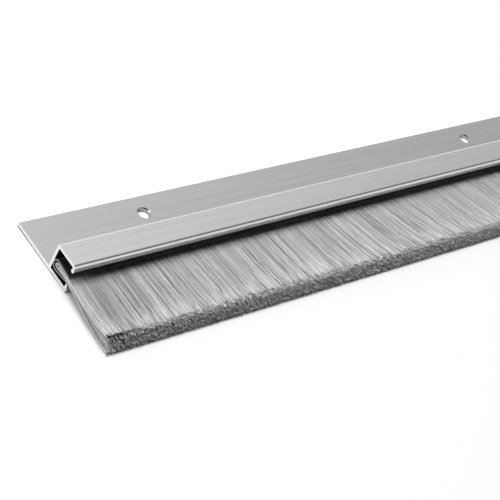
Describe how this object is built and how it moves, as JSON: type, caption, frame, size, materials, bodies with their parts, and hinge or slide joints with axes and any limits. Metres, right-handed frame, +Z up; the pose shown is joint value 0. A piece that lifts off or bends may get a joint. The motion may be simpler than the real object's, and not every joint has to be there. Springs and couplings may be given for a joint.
{
  "type": "brush seal strip",
  "caption": "Straight aluminium carrier strip with a screw flange and a lipped channel that holds a dense row of fine filaments folded in a steel clip.",
  "frame": {"origin": "on the floor, under the middle of the whole strip's outline", "axes": "+X along the strip, +Y from the brush tips towards the back edge of the screw flange, +Z up from the floor that the strip lies on"},
  "size_m": [0.917, 0.0536, 0.011],
  "materials": {
    "satin_aluminium": "satin, with fine streaks along the strip, bare bright saw-cut ends",
    "clip_steel": "dull zinc-plated sheet",
    "wire_steel": "drawn wire",
    "filament": "fine light grey filaments"
  },
  "bodies": {
    "root": {"carrier_profile": "satin_aluminium", "brush_clip": "clip_steel", "core_wire": "wire_steel", "bristles": "filament"}
  },
  "joints": []
}
